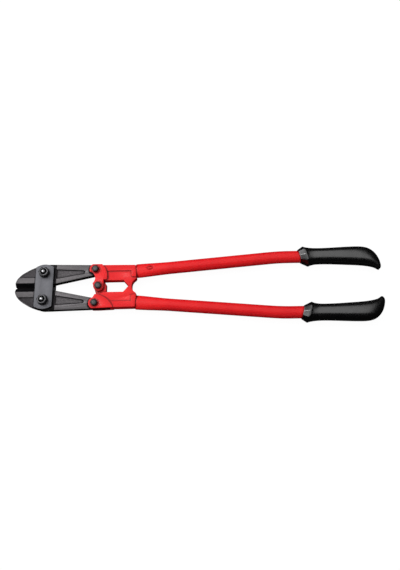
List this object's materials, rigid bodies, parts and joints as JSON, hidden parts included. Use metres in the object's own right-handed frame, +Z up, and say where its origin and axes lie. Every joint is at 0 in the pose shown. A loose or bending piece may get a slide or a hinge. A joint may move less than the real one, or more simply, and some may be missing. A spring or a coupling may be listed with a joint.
{
  "type": "bolt cutters",
  "caption": "Long-handled bolt cutters with centre-cut jaws, bolted link plates, forged handle heads, bent tube handles and black moulded grips.",
  "frame": {"origin": "under the middle of the closed tool, on the surface it lies on", "axes": "+X from the blade tips to the grips, +Y to the upper handle, +Z up from the surface the tool lies on"},
  "size_m": [0.6094, 0.1324, 0.038],
  "materials": {
    "jaw_steel": "black oxide on forged steel, ground bands lighter",
    "plate_steel": "dull blue-grey oxide on rolled plate",
    "black_bolt": "oiled black oxide",
    "grey_bolt": "worn phosphate on steel",
    "red_paint": "glossy bright red enamel",
    "black_vinyl": "soft gloss moulded vinyl"
  },
  "bodies": {
    "linkage": {"front_link_plate": "plate_steel", "rear_link_plate": "plate_steel", "upper_jaw_bolt": "black_bolt", "lower_jaw_bolt": "black_bolt", "upper_jaw_nut": "black_bolt", "lower_jaw_nut": "black_bolt"},
    "upper_jaw_body": {"upper_jaw": "jaw_steel"},
    "lower_jaw_body": {"lower_jaw": "jaw_steel"},
    "upper_handle": {"upper_handle_head": "red_paint", "upper_tube": "red_paint", "upper_grip": "black_vinyl", "upper_tail_bolt": "grey_bolt", "upper_tail_nut": "grey_bolt", "centre_bolt": "grey_bolt", "centre_nut": "grey_bolt"},
    "lower_handle": {"lower_handle_head": "red_paint", "lower_tube": "red_paint", "lower_grip": "black_vinyl", "lower_tail_bolt": "grey_bolt", "lower_tail_nut": "grey_bolt"}
  },
  "joints": [
    {"name": "upper_jaw_hinge", "type": "hinge", "parent": "linkage", "child": "upper_jaw_body", "pos_m": [-0.25571, 0.0236, 0.017], "axis": [0, 0, -1], "range_deg": [0, 8.42]},
    {"name": "lower_jaw_hinge", "type": "hinge", "parent": "linkage", "child": "lower_jaw_body", "pos_m": [-0.25571, -0.0236, 0.017], "axis": [0, 0, 1], "range_deg": [0, 8.42]},
    {"name": "upper_handle_hinge", "type": "hinge", "parent": "upper_jaw_body", "child": "upper_handle", "pos_m": [-0.17151, 0.029, 0.017], "axis": [0, 0, 1], "range_deg": [0, 53.4]},
    {"name": "lower_handle_hinge", "type": "hinge", "parent": "lower_jaw_body", "child": "lower_handle", "pos_m": [-0.17151, -0.029, 0.017], "axis": [0, 0, -1], "range_deg": [0, 53.4]}
  ],
  "couplings": [
    {"joint": "lower_handle_hinge", "follows": "upper_handle_hinge", "ratio": 1},
    {"joint": "upper_jaw_hinge", "follows": "upper_handle_hinge", "ratio": 0.15757},
    {"joint": "lower_jaw_hinge", "follows": "upper_handle_hinge", "ratio": 0.15757}
  ]
}
